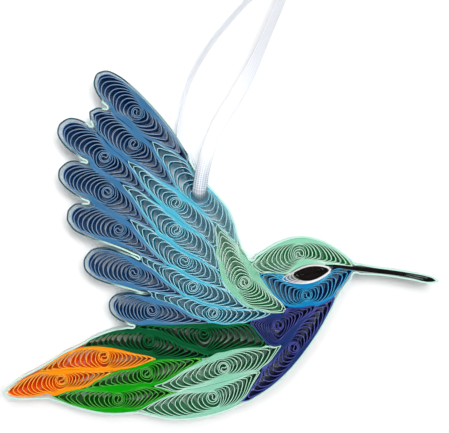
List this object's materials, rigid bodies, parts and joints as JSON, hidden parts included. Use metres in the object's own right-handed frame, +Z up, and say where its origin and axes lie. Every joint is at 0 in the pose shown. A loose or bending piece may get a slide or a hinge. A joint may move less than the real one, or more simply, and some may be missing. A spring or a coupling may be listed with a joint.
{
  "type": "quilled paper hummingbird ornament",
  "caption": "Flat hummingbird of rolled and pinched paper strips glued edge to edge inside a pale contour strip, hung on a white ribbon loop.",
  "frame": {"origin": "top of the ribbon loop, where its two strands run into the knot, half-way through the bird's depth", "axes": "+X towards the tip of the beak, -Y towards the bird's front, +Z up as it hangs"},
  "size_m": [0.1009, 0.0066, 0.1202],
  "materials": {
    "mint_contour_paper": "matt",
    "mint_green_paper": "matt",
    "azure_paper": "matt",
    "white_paper": "matt",
    "near_black_paper": "matt",
    "turquoise_paper": "matt",
    "steel_blue_paper": "matt",
    "navy_paper": "matt",
    "pale_green_paper": "matt",
    "dark_green_paper": "matt",
    "bright_green_paper": "matt",
    "orange_paper": "matt",
    "white_ribbon": "woven"
  },
  "bodies": {
    "root": {"contour": "mint_contour_paper", "shoulder": "mint_green_paper", "crown": "mint_green_paper", "face": "azure_paper", "eye_ring": "white_paper", "eye_core": "near_black_paper", "beak": "near_black_paper", "secondary_1": "turquoise_paper", "secondary_2": "turquoise_paper", "secondary_3": "turquoise_paper", "secondary_4": "turquoise_paper", "secondary_5": "turquoise_paper", "secondary_6": "turquoise_paper", "primary_1": "steel_blue_paper", "primary_2": "steel_blue_paper", "primary_3": "steel_blue_paper", "primary_4": "steel_blue_paper", "primary_5": "steel_blue_paper", "primary_6": "steel_blue_paper", "primary_7": "steel_blue_paper", "breast_1": "navy_paper", "breast_2": "navy_paper", "belly_1": "pale_green_paper", "belly_2": "pale_green_paper", "rump_1": "dark_green_paper", "rump_2": "dark_green_paper", "tail_green_1": "bright_green_paper", "tail_green_2": "bright_green_paper", "tail_orange_1": "orange_paper", "tail_orange_2": "orange_paper", "ribbon": "white_ribbon", "ribbon_knot": "white_ribbon"}
  },
  "joints": []
}
